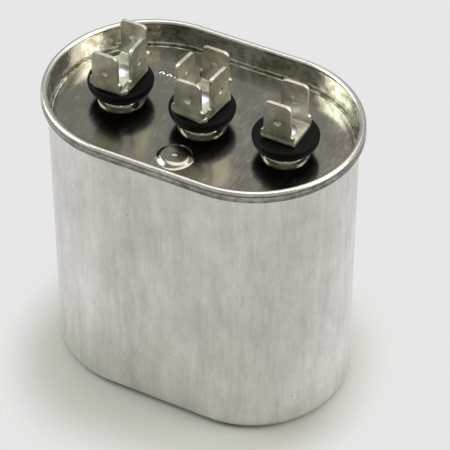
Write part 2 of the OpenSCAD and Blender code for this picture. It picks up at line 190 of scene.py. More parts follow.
# Only the metal mirrors the dimmer strip in front, a painted shade in the background's glow, which begins
# 20 mm ahead and fades from 55 mm on.
front = (0.46, -0.89, 0)
ahead = add_node(tree, "ShaderNodeVectorMath", {"operation": "DOT_PRODUCT"}, {0: place, 1: front})
begun = add_node(tree, "ShaderNodeMapRange", {"interpolation_type": "SMOOTHSTEP"}, {
    "Value": ahead.outputs["Value"], "From Min": 20 * mm, "From Max": 50 * mm,
})
faded = add_node(tree, "ShaderNodeMapRange", {"interpolation_type": "SMOOTHSTEP"}, {
    "Value": ahead.outputs["Value"], "From Min": 55 * mm, "From Max": 120 * mm,
    "To Min": 1, "To Max": 0.35,
})
strip = add_node(tree, "ShaderNodeMath", {"operation": "MULTIPLY"}, {
    0: begun.outputs[0], 1: faded.outputs[0],
})
mirrored = add_node(tree, "ShaderNodeMath", {"operation": "MULTIPLY"}, {
    0: strip.outputs[0], 1: ray.outputs["Is Glossy Ray"],
})
shaded_glow_colour = add_node(tree, "ShaderNodeMix", {"data_type": "RGBA"}, {
    "Factor": mirrored.outputs[0], 6: linear(pale), 7: linear("#cacbc5"),
})
glow = add_node(tree, "ShaderNodeEmission", None, {"Color": shaded_glow_colour.outputs[2]})
mix = add_node(tree, "ShaderNodeMixShader", None, {
    0: background.outputs[0], 1: surface.outputs[0], 2: glow.outputs[0],
})
add_node(tree, "ShaderNodeOutputMaterial", None, {"Surface": mix.outputs[0]})
floor_mesh.materials.append(board)


# Can: drawn in one piece from aluminium sheet, with a flat bottom and a rounded corner.
# Its mouth opens a little and its flange is rolled outwards and down inside the lid's curl.
case_height = lid_high.z
seam_outer = lid_high.y
seam_height = 2.7 * mm
lid_sheet = 0.25 * mm
can_wall = 0.35 * mm
can_floor = 0.5 * mm
layer_gap = 0.025 * mm
can_flare = 0.4 * mm
base_radius = 2.2 * mm
sink_depth = 7 * mm
groove_radius = 0.3 * mm
sink_z = case_height - sink_depth
groove_z = sink_z + groove_radius
flare_radius = seam_outer - 3 * layer_gap - 2 * lid_sheet - can_wall
can_radius = flare_radius - can_flare
seam_inner = flare_radius - can_wall - layer_gap - lid_sheet
seam_middle = (seam_inner + seam_outer) / 2
seam_half = (seam_outer - seam_inner) / 2
seam_top = case_height - seam_half
cover_hook = flare_radius + layer_gap
hook_half = (seam_outer - cover_hook) / 2
seam_low = case_height - seam_height
seam_bottom = seam_low + hook_half
touching = mm / 1000


def trace(bm, start, moves, steps=8):
    """Draws a section at y = 0 from start. A pair is a run to that radius and height, and a triple is an
    arc about them by so many degrees."""
    tip = bm.verts.new((start[0], 0, start[1]))
    for move in moves:
        if len(move) == 2:
            tip = bmesh.ops.extrude_vert_indiv(bm, verts=[tip])["verts"][0]
            tip.co = (move[0], 0, move[1])
        else:
            arc = bmesh.ops.spin(bm, geom=[tip], cent=(move[0], 0, move[1]), axis=(0, 1, 0), steps=steps,
                                 angle=math.radians(move[2]))
            tip = [v for v in arc["geom_last"] if isinstance(v, bmesh.types.BMVert)][0]


def sweep_oval(bm, around=72, along=16):
    """Carries the section round the oval: a half turn and a straight run, twice."""
    bmesh.ops.rotate(bm, verts=bm.verts, cent=(0, 0, 0), matrix=Matrix.Rotation(-math.pi / 2, 3, "Z"))
    bmesh.ops.translate(bm, verts=bm.verts, vec=(half_span, 0, 0))
    section = bm.verts[:] + bm.edges[:]
    for side in (1, -1):
        end = (side * half_span, 0, 0)
        turn = bmesh.ops.spin(bm, geom=section, cent=end, axis=(0, 0, 1), angle=math.pi, steps=around)
        run = bmesh.ops.spin(bm, geom=turn["geom_last"], cent=end, axis=(0, 0, 1), angle=0, steps=along,
                             dvec=(-side * 2 * half_span / along, 0, 0))
        section = run["geom_last"]
    bmesh.ops.remove_doubles(bm, verts=bm.verts, dist=touching)


def turn_outwards(bm, pick, up):
    """Makes all faces agree, then turns them over if the lowest or highest one looks the wrong way."""
    bmesh.ops.recalc_face_normals(bm, faces=bm.faces)
    face = pick(bm.faces, key=lambda f: f.calc_center_median().z)
    if face.normal.z * up < 0:
        bmesh.ops.reverse_faces(bm, faces=bm.faces)


def settle(parts, place):
    """Puts the parts of a mesh in the order of their places, which the operators leave to chance."""
    ranks = {part: rank for rank, part in enumerate(sorted(parts, key=place))}
    parts.sort(key=lambda part: ranks[part])
    parts.index_update()


def make_piece(bm, name, material, slot, *nodes):
    """Makes the mesh a piece of the capacitor that stands for its CAD nodes."""
    settle(bm.verts, lambda v: tuple(round(c / touching) for c in v.co))
    settle(bm.edges, lambda e: sorted(v.index for v in e.verts))
    settle(bm.faces, lambda f: sorted(v.index for v in f.verts))
    mesh = bpy.data.meshes.new(name)
    bm.to_mesh(mesh)
    bm.free()
    mesh.shade_smooth()
    mesh.set_sharp_from_angle(angle=math.radians(30))
    mesh.materials.append(material)
    piece = bpy.data.objects.new(name, mesh)
    bpy.context.collection.objects.link(piece)
    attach(piece, "root")
    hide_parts(*nodes)
    return piece


def give_thickness(piece, thickness):
    """Thickens a skin inwards into sheet metal."""
    sheet = piece.modifiers.new("sheet", "SOLIDIFY")
    sheet.thickness = thickness
    sheet.offset = -1
    return sheet


def start_finish(name, constants):
    """A new material, its node tree, and the object's own coordinates; constants go on the shader."""
    material = bpy.data.materials.new(name)
    material.use_nodes = True
    tree = material.node_tree
    for socket, value in constants.items():
        tree.nodes["Principled BSDF"].inputs[socket].default_value = value
    return material, tree, add_node(tree, "ShaderNodeTexCoord").outputs["Object"]


def end_finish(tree, colour, roughness, relief=None):
    """Links the colour, the roughness and the relief to the shader."""
    shader = tree.nodes["Principled BSDF"]
    tree.links.new(colour.outputs[2], shader.inputs["Base Color"])
    tree.links.new(roughness.outputs[0], shader.inputs["Roughness"])
    if relief:
        tree.links.new(relief.outputs[0], shader.inputs["Normal"])


# Drawn aluminium: satin, and bright where it faces a light, with upright lines from the die, clouds and
# runs left by washing and handling, and a few dark scratches and nicks. Real die lines and scratches
# are under 0.1 mm wide and wouldn't show, so both are drawn several times as wide.
die_line = 0.7 * mm
cloud_size = 11 * mm
run_size = 3 * mm
scratch_size = 0.4 * mm
nick_spacing = 6 * mm
aluminium, tree, place = start_finish("drawn_aluminium", {"Metallic": 1})
drawn = add_node(tree, "ShaderNodeMapping", None, {"Vector": place, "Scale": (1, 1, 0.07)})
lines = add_node(tree, "ShaderNodeTexNoise", None, {
    "Vector": drawn.outputs[0], "Scale": 1 / die_line, "Detail": 4, "Roughness": 0.75,
})
handled = add_node(tree, "ShaderNodeMapping", None, {"Vector": place, "Scale": (1, 1, 0.5)})
clouds = add_node(tree, "ShaderNodeTexNoise", None, {
    "Vector": handled.outputs[0], "Scale": 1 / cloud_size, "Detail": 8, "Roughness": 0.78,
})
washed = add_node(tree, "ShaderNodeMapping", None, {"Vector": place, "Scale": (1, 1, 0.09)})
runs = add_node(tree, "ShaderNodeTexNoise", None, {
    "Vector": washed.outputs[0], "Scale": 1 / run_size, "Detail": 4, "Roughness": 0.6,
})
smeared = add_node(tree, "ShaderNodeMath", {"operation": "MULTIPLY_ADD"}, {
    0: runs.outputs[0], 1: 0.35, 2: clouds.outputs[0],
})
wear = add_node(tree, "ShaderNodeMath", {"operation": "MULTIPLY_ADD"}, {
    0: lines.outputs[0], 1: 0.3, 2: smeared.outputs[0],
})
tone = add_node(tree, "ShaderNodeMapRange", None, {
    "Value": wear.outputs[0], "From Min": 0.56, "From Max": 1.06,
})
metal = add_node(tree, "ShaderNodeMix", {"data_type": "RGBA"}, {
    "Factor": tone.outputs[0], 6: linear("#c1c1bc"), 7: linear("#f0eeea"),
})
leaning = add_node(tree, "ShaderNodeMapping", None, {
    "Vector": place, "Rotation": (0.3, 0.7, 0), "Scale": (1, 1, 0.1),
})
scratches = add_node(tree, "ShaderNodeTexNoise", None, {
    "Vector": leaning.outputs[0], "Scale": 1 / scratch_size, "Detail": 1,
})
scratch = add_node(tree, "ShaderNodeMapRange", None, {
    "Value": scratches.outputs[0], "From Min": 0.7, "From Max": 0.82, "To Max": 0.35,
})
scratched = add_node(tree, "ShaderNodeMix", {"data_type": "RGBA"}, {
    "Factor": scratch.outputs[0], 6: metal.outputs[2], 7: linear("#8f8e88"),
})
nicks = add_node(tree, "ShaderNodeTexVoronoi", None, {"Vector": place, "Scale": 1 / nick_spacing})
sound = add_node(tree, "ShaderNodeMapRange", None, {
    "Value": nicks.outputs["Distance"], "From Min": 0.01, "From Max": 0.05,
})
nicked = add_node(tree, "ShaderNodeMix", {"data_type": "RGBA"}, {
    "Factor": sound.outputs[0], 6: linear("#94928b"), 7: scratched.outputs[2],
})
satin = add_node(tree, "ShaderNodeMapRange", None, {
    "Value": wear.outputs[0], "From Min": 0.6, "From Max": 1.05, "To Min": 0.46, "To Max": 0.33,
})
relief = add_node(tree, "ShaderNodeBump", None, {
    "Strength": 1, "Distance": 0.02 * mm, "Height": wear.outputs[0],
})
end_finish(tree, nicked, satin, relief)

wall_rows = 24
wall_z = [base_radius + (groove_z - base_radius) * row / wall_rows for row in range(1, wall_rows + 1)]
bm = bmesh.new()
trace(bm, (0, 0), [
    (can_radius - base_radius, 0), (can_radius - base_radius, base_radius, -90),
    *[(can_radius, z) for z in wall_z], (flare_radius, seam_low), (flare_radius, seam_top),
    (seam_middle, seam_top, 180), (flare_radius + 2 * (seam_middle - flare_radius), seam_bottom),
])
sweep_oval(bm)
turn_outwards(bm, min, -1)
bm.normal_update()
dent_depth = 0.06 * mm
for vert in bm.verts:
    if base_radius < vert.co.z < groove_z:
        fade = math.sin(math.pi * (vert.co.z - base_radius) / (groove_z - base_radius))
        dent = noise.noise(vert.co / (14 * mm)) + 0.5 * noise.noise(vert.co / (6 * mm))
        vert.co -= vert.normal * (dent_depth * fade * (1 + dent))
can = make_piece(bm, "drawn_can", aluminium, "drawn_aluminium", "can")
wall = can.vertex_groups.new(name="sheet")
wall.add([v.index for v in can.data.vertices], can_wall / can_floor, "REPLACE")
wall.add([v.index for v in can.data.vertices if v.co.z < layer_gap], 1, "REPLACE")
give_thickness(can, can_floor).vertex_group = "sheet"


# Lid: pressed from tinplate, with a boss for each terminal, a raised button and four plain pips.
# Its curl is rolled with the can's flange into the double seam, and a groove runs round the panel.
terminal_names = ("compressor", "common", "fan")
cup_boxes = [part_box(name + "_insulator") for name in terminal_names]
terminal_x = [(low.x + high.x) / 2 for low, high in cup_boxes]
panel_z = sink_z + 1 * mm
panel_edge_radius = 0.55 * mm
sink_wall = can_radius - can_wall - layer_gap - lid_sheet
leg_face = sink_wall - 2 * groove_radius
panel_edge = leg_face - panel_edge_radius
boss_top = panel_z + 1.9 * mm
boss_radius = 5.4 * mm
boss_round = 1.8 * mm
neck_radius = 2.6 * mm
neck_play = 0.05 * mm
plug_low, plug_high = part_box("fill_plug")
fill_y = (plug_low.y + plug_high.y) / 2
fill_top = plug_high.z - 0.5 * mm
button_height = fill_top - panel_z
pip_pitch = 1.9 * mm
pip_row_x = terminal_x[0] + 6.8 * mm
pip_row_y = 11.6 * mm


def turn_on_axis(bm, x, y, steps=72):
    """Spins what was last drawn round the upright axis at x, y."""
    loose = [v for v in bm.verts if not v.link_faces]
    edges = list(dict.fromkeys(e for v in loose for e in v.link_edges))
    bmesh.ops.translate(bm, verts=loose, vec=(x, y, 0))
    bmesh.ops.spin(bm, geom=loose + edges, cent=(x, y, 0), axis=(0, 0, 1), angle=2 * math.pi, steps=steps,
                   use_merge=True)


# Bright tinplate: steel sheet with a melted coat of tin, which mirrors the room in a soft dark grey. The
# panel has hairlines, the wall and groove are mottled, the bosses are stretched paler and the bead is
# half dull. Outside below the bead, painted shade darkens the tin in patchy bands, darkest in the crease.
# Real
# hairlines and grain are too fine to show: these are coarser.
stain_size = 6 * mm
mottle_size = 2.2 * mm
hairline_size = 0.6 * mm
grain_size = 0.5 * mm
tin, tree, place = start_finish("bright_tinplate", {"Metallic": 1})
point = add_node(tree, "ShaderNodeSeparateXYZ", None, {0: place})
out = from_centre_line(tree, place, half_span)
clouds = add_node(tree, "ShaderNodeTexNoise", None, {
    "Vector": place, "Scale": 1 / stain_size, "Detail": 5, "Roughness": 0.65,
})
grain = add_node(tree, "ShaderNodeTexNoise", None, {
    "Vector": place, "Scale": 1 / grain_size, "Detail": 2,
})
metal = add_node(tree, "ShaderNodeMix", {"data_type": "RGBA"}, {
    "Factor": clouds.outputs[0], 6: linear("#7d7a70"), 7: linear("#9d9a8f"),
})
wiped = add_node(tree, "ShaderNodeMapping", None, {
    "Vector": place, "Rotation": (0, 0, 0.6), "Scale": (1, 0.2, 1),
})
hairlines = add_node(tree, "ShaderNodeTexNoise", None, {
    "Vector": wiped.outputs[0], "Scale": 1 / hairline_size,
    "Detail": 4, "Roughness": 0.7, "Distortion": 0.8,
})
hairline = add_node(tree, "ShaderNodeMapRange", None, {
    "Value": hairlines.outputs[0], "From Min": 0.52, "From Max": 0.8, "To Max": 0.4,
})
panel = add_node(tree, "ShaderNodeMix", {"data_type": "RGBA"}, {
    "Factor": hairline.outputs[0], 6: metal.outputs[2], 7: linear("#bdbbb4"),
})
# The groove and the wall, outwards from the edge of the panel.
worked = add_node(tree, "ShaderNodeMapRange", None, {
    "Value": out, "From Min": leg_face - 0.4 * mm, "From Max": leg_face + 0.2 * mm,
})
mottle = add_node(tree, "ShaderNodeTexNoise", None, {
    "Vector": place, "Scale": 1 / mottle_size, "Detail": 5, "Roughness": 0.7,
})
patches = add_node(tree, "ShaderNodeMapRange", None, {
    "Value": mottle.outputs[0], "From Min": 0.36, "From Max": 0.56,
})
mottled = add_node(tree, "ShaderNodeMix", {"data_type": "RGBA"}, {
    "Factor": patches.outputs[0], 6: linear("#928d74"), 7: linear("#d6d8d2"),
})
walls = add_node(tree, "ShaderNodeMix", {"data_type": "RGBA"}, {
    "Factor": worked.outputs[0], 6: panel.outputs[2], 7: mottled.outputs[2],
})
# The upper part of the bosses, which stand in one row along the middle.
raised = add_node(tree, "ShaderNodeMapRange", None, {
    "Value": point.outputs["Z"], "From Min": panel_z + 0.9 * mm, "From Max": panel_z + 1.2 * mm,
    "To Max": 0.8,
})
across = add_node(tree, "ShaderNodeMath", {"operation": "ABSOLUTE"}, {0: point.outputs["Y"]})
boss_row = add_node(tree, "ShaderNodeMapRange", None, {
    "Value": across.outputs[0], "From Min": 6.4 * mm, "From Max": 7 * mm, "To Min": 1, "To Max": 0,
})
on_boss = add_node(tree, "ShaderNodeMath", {"operation": "MULTIPLY"}, {
    0: raised.outputs[0], 1: boss_row.outputs[0],
})
bosses = add_node(tree, "ShaderNodeMix", {"data_type": "RGBA"}, {
    "Factor": on_boss.outputs[0], 6: walls.outputs[2], 7: linear("#a3a29b"),
})
# The bead on top of the seam, and the painted shade outside below it: patchy, lighter in its upper part
# and darkest in the crease under the bead.
on_bead = add_node(tree, "ShaderNodeMapRange", {"interpolation_type": "SMOOTHSTEP"}, {
    "Value": point.outputs["Z"], "From Min": seam_top + 0.1 * mm, "From Max": seam_top + 0.45 * mm,
})
bead = add_node(tree, "ShaderNodeMix", {"data_type": "RGBA"}, {
    "Factor": on_bead.outputs[0], 6: bosses.outputs[2], 7: linear("#b6b4ad"),
})
outermost = add_node(tree, "ShaderNodeMapRange", None, {
    "Value": out, "From Min": seam_outer - 0.3 * mm, "From Max": seam_outer - 0.2 * mm,
})
below = add_node(tree, "ShaderNodeMapRange", None, {
    "Value": point.outputs["Z"], "From Min": seam_top + 0.1 * mm, "From Max": seam_top + 0.3 * mm,
    "To Min": 1, "To Max": 0,
})
skirt = add_node(tree, "ShaderNodeMath", {"operation": "MULTIPLY"}, {
    0: outermost.outputs[0], 1: below.outputs[0],
})
# Painted shade below the bead: uneven with the clouds, and a quarter lighter near its top.
patchiness = add_node(tree, "ShaderNodeMapRange", None, {
    "Value": clouds.outputs[0], "From Min": 0.3, "From Max": 0.7, "To Min": 0.45, "To Max": 0.95,
})
patchy_shade = add_node(tree, "ShaderNodeMath", {"operation": "MULTIPLY"}, {
    0: skirt.outputs[0], 1: patchiness.outputs[0],
})
lighter_upper_band = add_node(tree, "ShaderNodeMapRange", None, {
    "Value": point.outputs["Z"], "From Min": seam_top - 1.1 * mm, "From Max": seam_top - 0.8 * mm,
    "To Min": 1, "To Max": 0.75,
})
banded_shade = add_node(tree, "ShaderNodeMath", {"operation": "MULTIPLY"}, {
    0: patchy_shade.outputs[0], 1: lighter_upper_band.outputs[0],
})
# Painted shade: a dark line in the crease under the bead.
crease = add_node(tree, "ShaderNodeMath", {"operation": "COMPARE"}, {
    0: point.outputs["Z"], 1: seam_top - 0.12 * mm, 2: 0.16 * mm,
})
crease_shade = add_node(tree, "ShaderNodeMath", {"operation": "MULTIPLY"}, {
    0: skirt.outputs[0], 1: crease.outputs[0],
})
seam_shade = add_node(tree, "ShaderNodeMath", {"operation": "MAXIMUM"}, {
    0: banded_shade.outputs[0], 1: crease_shade.outputs[0],
})
# The painted shade below the bead goes into the tin's colour here.
seam_shaded_colour = add_node(tree, "ShaderNodeMix", {"data_type": "RGBA"}, {
    "Factor": seam_shade.outputs[0], 6: bead.outputs[2], 7: linear("#57544a"),
})
gloss = add_node(tree, "ShaderNodeMapRange", None, {
    "Value": clouds.outputs[0], "From Min": 0.3, "From Max": 0.75, "To Min": 0.13, "To Max": 0.2,
})
seam = add_node(tree, "ShaderNodeMath", {"operation": "MAXIMUM"}, {
    0: on_bead.outputs[0], 1: skirt.outputs[0],
})
dull = add_node(tree, "ShaderNodeMath", {"operation": "MULTIPLY_ADD"}, {
    0: seam.outputs[0], 1: 0.14, 2: gloss.outputs[0],
})
hazy = add_node(tree, "ShaderNodeMath", {"operation": "MULTIPLY_ADD"}, {
    0: hairline.outputs[0], 1: 0.25, 2: dull.outputs[0],
})
scuffs = add_node(tree, "ShaderNodeMath", {"operation": "MULTIPLY_ADD"}, {
    0: grain.outputs[0], 1: 0.15, 2: clouds.outputs[0],
})
wavy = add_node(tree, "ShaderNodeMath", {"operation": "MULTIPLY"}, {
    0: worked.outputs[0], 1: mottle.outputs[0],
})
waves = add_node(tree, "ShaderNodeMath", {"operation": "MULTIPLY_ADD"}, {
    0: wavy.outputs[0], 1: 2, 2: scuffs.outputs[0],
})
relief = add_node(tree, "ShaderNodeBump", None, {
    "Strength": 1, "Distance": 0.03 * mm, "Height": waves.outputs[0],
})
end_finish(tree, seam_shaded_colour, hazy, relief)

# In millimetres: how far the seam's flank lies in and down from its top, and the rings of button and pip
# by radius and height. The button's heights are shares of its full height.
seam_flank = ((0.04, -0.1), (0.08, 0.04), (0.12, 0.18), (0.12, 0.32), (0.07, 0.46), (0.02, 0.6),
              (0, 0.75))
button_rings = ((4.4, 0), (4.2, 0.04), (3.9, 0.22), (3.6, 0.52), (3.2, 0.84), (2.8, 0.97), (2.5, 1),
                (2.3, 1), (0.6, 1), (0.5, 1))
pip_rings = ((0.75, 0), (0.6, 0.18), (0.35, 0.35), (0, 0.4))
flank_moves = [(seam_outer - inward * mm, seam_top - down * mm) for inward, down in seam_flank]
button_moves = [(radius * mm, panel_z + share * button_height) for radius, share in button_rings]
pip_moves = [(radius * mm, panel_z + rise * mm) for radius, rise in pip_rings]
bm = bmesh.new()
trace(bm, (panel_edge, panel_z), [
    (panel_edge, panel_z - panel_edge_radius, 90), (leg_face, groove_z),
    (leg_face + groove_radius, groove_z, -180), (seam_inner, seam_low), (seam_inner, seam_top),
    (seam_middle, seam_top, 160), *flank_moves, (seam_outer, seam_bottom),
    (seam_outer - hook_half, seam_bottom, 180), (cover_hook, seam_top),
], steps=10)
sweep_oval(bm)
for x in terminal_x:
    trace(bm, (boss_radius, panel_z), [
        (boss_radius, boss_top - boss_round),
        (boss_radius - boss_round, boss_top - boss_round, -90), (neck_radius + neck_play, boss_top),
    ])
    turn_on_axis(bm, x, 0)
trace(bm, button_moves[0], button_moves[1:])
turn_on_axis(bm, 0, fill_y)
for step in (-1.5, -0.5, 0.5, 1.5):
    trace(bm, pip_moves[0], pip_moves[1:])
    turn_on_axis(bm, pip_row_x + step * pip_pitch, pip_row_y, steps=24)
bmesh.ops.remove_doubles(bm, verts=bm.verts, dist=touching)
rims = [e for e in bm.edges if e.is_boundary and all(abs(v.co.z - panel_z) < touching for v in e.verts)]
bmesh.ops.triangle_fill(bm, edges=rims, use_beauty=True, normal=(0, 0, 1))
turn_outwards(bm, max, 1)
lid = make_piece(bm, "seamed_lid", tin, "tinplate", "lid")
give_thickness(lid, lid_sheet)
lid.modifiers.new("flat_panel", "WEIGHTED_NORMAL").keep_sharp = True


# Fill plug: a small steel blind plug pressed through the hole in the button and spread under it.
# It is plated and has a low domed head.
def even_finish(name, constants, size, colours, roughness, depth=0, stretch=(1, 1, 1), **pattern_inputs):
    """A material whose colour, gloss and relief all follow one pattern of this size."""
    material, tree, place = start_finish(name, constants)
    laid = add_node(tree, "ShaderNodeMapping", None, {"Vector": place, "Scale": stretch})
    pattern = add_node(tree, "ShaderNodeTexNoise", None, {
        "Vector": laid.outputs[0], "Scale": 1 / size, **pattern_inputs,
    })
    colour = add_node(tree, "ShaderNodeMix", {"data_type": "RGBA"}, {
        "Factor": pattern.outputs[0], 6: linear(colours[0]), 7: linear(colours[1]),
    })
    gloss = add_node(tree, "ShaderNodeMapRange", None, {
        "Value": pattern.outputs[0], "To Min": roughness[0], "To Max": roughness[1],
    })
    relief = add_node(tree, "ShaderNodeBump", None, {
        "Strength": 1, "Distance": depth, "Height": pattern.outputs[0],
    }) if depth else None
    end_finish(tree, colour, gloss, relief)
    return material


def dome(radius, height, seat):
    """Start and moves of a low dome on its seat, from the axis to its rim."""
    ball = (radius * radius + height * height) / (2 * height)
    return (0, seat + height), [(0, seat + height - ball, math.degrees(math.asin(radius / ball)))]


def turned_piece(name, start, moves, x, y, around, material, slot, node, steps=8):
    """Spins a section into a closed piece that stands for its CAD node."""
    bm = bmesh.new()
    trace(bm, start, moves, steps)
    turn_on_axis(bm, x, y, around)
    bmesh.ops.remove_doubles(bm, verts=bm.verts, dist=touching)
    bmesh.ops.recalc_face_normals(bm, faces=bm.faces)
    make_piece(bm, name, material, slot, node)


# Plated steel: a dull grey glint, worn unevenly in patches about a millimetre across.
plug_steel = even_finish("plated_steel", {"Metallic": 1}, 0.9 * mm, ("#76746e", "#98968f"), (0.25, 0.42),
                         Detail=3)
plug_head = 0.65 * mm
plug_rise = 0.2 * mm
shank_radius = 0.5 * mm
spread_radius = 0.75 * mm
spread_z = fill_top - lid_sheet
start, moves = dome(plug_head, plug_rise, fill_top)
turned_piece("blind_plug", start, moves + [
    (shank_radius, fill_top), (shank_radius, spread_z), (spread_radius, spread_z),
    (spread_radius, plug_low.z), (0, plug_low.z),
], 0, fill_y, 32, plug_steel, "plug_metal", "fill_plug")


# Insulators: black thermoset cups moulded with a neck that passes through the boss.
# They are smooth and half matt, with a rounded flank and a narrow straight band at the top.
insulator_top = cup_boxes[0][1].z
insulator_radius = (cup_boxes[0][1].x - cup_boxes[0][0].x) / 2
rivet_hole = 1.55 * mm
flank = 3.0 * mm
band_z = insulator_top - 0.75 * mm
edge = 0.7 * mm
foot_angle = math.asin((band_z - boss_top) / flank)

# Moulded phenolic: deep black with a weak, slightly uneven sheen from the mould and a little dust.
# The mould's own tooth is a few hundredths of a millimetre and is drawn at 0.7 mm, so that it shows.
phenolic = even_finish("black_phenolic", {"IOR": 1.5, "Specular IOR Level": 0.06}, 0.7 * mm,
                       ("#070707", "#101010"), (0.42, 0.6), 0.01 * mm, Detail=4, Roughness=0.7)
for name, (low, high), x in zip(terminal_names, cup_boxes, terminal_x):
    turned_piece(name + "_cup", (rivet_hole, insulator_top), [
        (insulator_radius - edge, insulator_top), (insulator_radius - edge, insulator_top - edge, 90),
        (insulator_radius, band_z), (insulator_radius - flank, band_z, math.degrees(foot_angle)),
        (neck_radius, boss_top), (neck_radius, low.z), (rivet_hole, low.z), (rivet_hole, insulator_top),
    ], x, 0, 80, phenolic, "moulded_black", name + "_insulator", steps=12)


# Tabs: brass strip, stamped, pressed with a detent, bent up and tin plated.
# Each terminal carries one or two strips; the wide ones lie across the others.
tab_thickness = 0.8 * mm
bend_outer = tab_thickness + 0.4 * mm
strip_width = 7.7 * mm
waist_width = 6.2 * mm
blade_half = 3.175 * mm
shoulder_z = 2.9 * mm
shoulder_round = 0.4 * mm
corner_radius = 1.1 * mm
detent_radius = 0.9 * mm
detent_drop = 4.8 * mm
detent_dish = ((0.86, 0.1 * mm), (0.66, 0.14 * mm), (0.4, 0.08 * mm))
stamped_round = 0.12 * mm

# Tin plated brass: pale, warm and half dull, with soft clouds and fine upright lines from the rolling,
# and duller in the bend, where the press marked it. Real rolling lines are a tenth as wide as these.
cloud_size = 3 * mm
rolling_line = 0.45 * mm
plated, tree, place = start_finish("tin_plated_brass", {"Metallic": 1})
stretch = add_node(tree, "ShaderNodeMapping", None, {"Vector": place, "Scale": (1, 1, 0.2)})
rolled = add_node(tree, "ShaderNodeTexNoise", None, {
    "Vector": stretch.outputs[0], "Scale": 1 / rolling_line, "Detail": 3,
})
clouds = add_node(tree, "ShaderNodeTexNoise", None, {
    "Vector": place, "Scale": 1 / cloud_size, "Detail": 6, "Roughness": 0.75,
})
tone = add_node(tree, "ShaderNodeMapRange", None, {
    "Value": clouds.outputs[0], "From Min": 0.35, "From Max": 0.65,
})
colour = add_node(tree, "ShaderNodeMix", {"data_type": "RGBA"}, {
    "Factor": tone.outputs[0], 6: linear("#a09e8c"), 7: linear("#d2d1c5"),
})
gloss = add_node(tree, "ShaderNodeMapRange", None, {
    "Value": rolled.outputs[0], "To Min": 0.3, "To Max": 0.5,
})
point = add_node(tree, "ShaderNodeSeparateXYZ", None, {0: place})
pressed = add_node(tree, "ShaderNodeMapRange", None, {
    "Value": point.outputs["Z"], "To Min": 0.22, "To Max": 0,
    "From Min": insulator_top + 1.65 * mm, "From Max": insulator_top + 1.9 * mm,
})
dulled = add_node(tree, "ShaderNodeMath", {"operation": "ADD"}, {
    0: gloss.outputs[0], 1: pressed.outputs[0],
})
relief = add_node(tree, "ShaderNodeBump", None, {
    "Strength": 1, "Distance": 0.006 * mm, "Height": rolled.outputs[0],
})
end_finish(tree, colour, dulled, relief)


def upright_tab(bm, spread, height, base_width):
    """One stamped tab with its detent and its bend, its outer face at half the spread along +X."""
    half, face = strip_width / 2, spread / 2
    step = half - shoulder_round - blade_half
    trace(bm, (-base_width / 2, bend_outer), [
        (-half, bend_outer), (-half, shoulder_z - shoulder_round),
        (shoulder_round - half, shoulder_z - shoulder_round, 90),
        (shoulder_round - half, shoulder_z + step, -90), (-blade_half, height - corner_radius),
        (corner_radius - blade_half, height - corner_radius, 90), (blade_half - corner_radius, height),
        (blade_half - corner_radius, height - corner_radius, 90), (blade_half, shoulder_z + step),
        (half - shoulder_round, shoulder_z + step, -90),
        (half - shoulder_round, shoulder_z - shoulder_round, 90),
        (half, bend_outer), (base_width / 2, bend_outer), (-base_width / 2, bend_outer),
    ], steps=6)
    bmesh.ops.remove_doubles(bm, verts=bm.verts, dist=touching)
    bmesh.ops.rotate(bm, verts=bm.verts, cent=(0, 0, 0), matrix=Matrix.Rotation(math.pi / 2, 3, "Z"))
    bmesh.ops.translate(bm, verts=bm.verts, vec=(face, 0, 0))
    detent = Vector((face, 0, height - detent_drop))
    upright = Matrix.Translation(detent) @ Matrix.Rotation(math.pi / 2, 4, "Y")
    ring = bmesh.ops.create_circle(bm, segments=24, radius=detent_radius, matrix=upright)["verts"]
    rim = list(dict.fromkeys(e for v in ring for e in v.link_edges))
    bmesh.ops.triangle_fill(bm, edges=bm.edges, use_beauty=True, normal=(1, 0, 0))
    for shrink, push in detent_dish:
        dish = bmesh.ops.extrude_edge_only(bm, edges=rim)["geom"]
        ring = [v for v in dish if isinstance(v, bmesh.types.BMVert)]
        rim = [e for e in dish if isinstance(e, bmesh.types.BMEdge)]
        bmesh.ops.translate(bm, verts=ring, vec=(-push, 0, 0))
        bmesh.ops.scale(bm, verts=ring, vec=(1, shrink, shrink), space=Matrix.Translation(-detent))
    bmesh.ops.contextual_create(bm, geom=rim)
    foot = [v for v in bm.verts if abs(v.co.z - bend_outer) < touching]
    fold = foot + [e for e in bm.edges if all(v in foot for v in e.verts)]
    bmesh.ops.spin(bm, geom=fold, cent=(face - bend_outer, 0, bend_outer), axis=(0, 1, 0),
                   angle=math.pi / 2, steps=8)
    for vert in bm.verts:
        if vert.co.z < bend_outer and abs(vert.co.y) > base_width / 2:
            waist = math.sin(math.acos(max(vert.co.z / bend_outer, 0))) ** 2
            vert.co.y = math.copysign(half + (base_width / 2 - half) * waist, vert.co.y)
    bmesh.ops.remove_doubles(bm, verts=bm.verts, dist=touching)


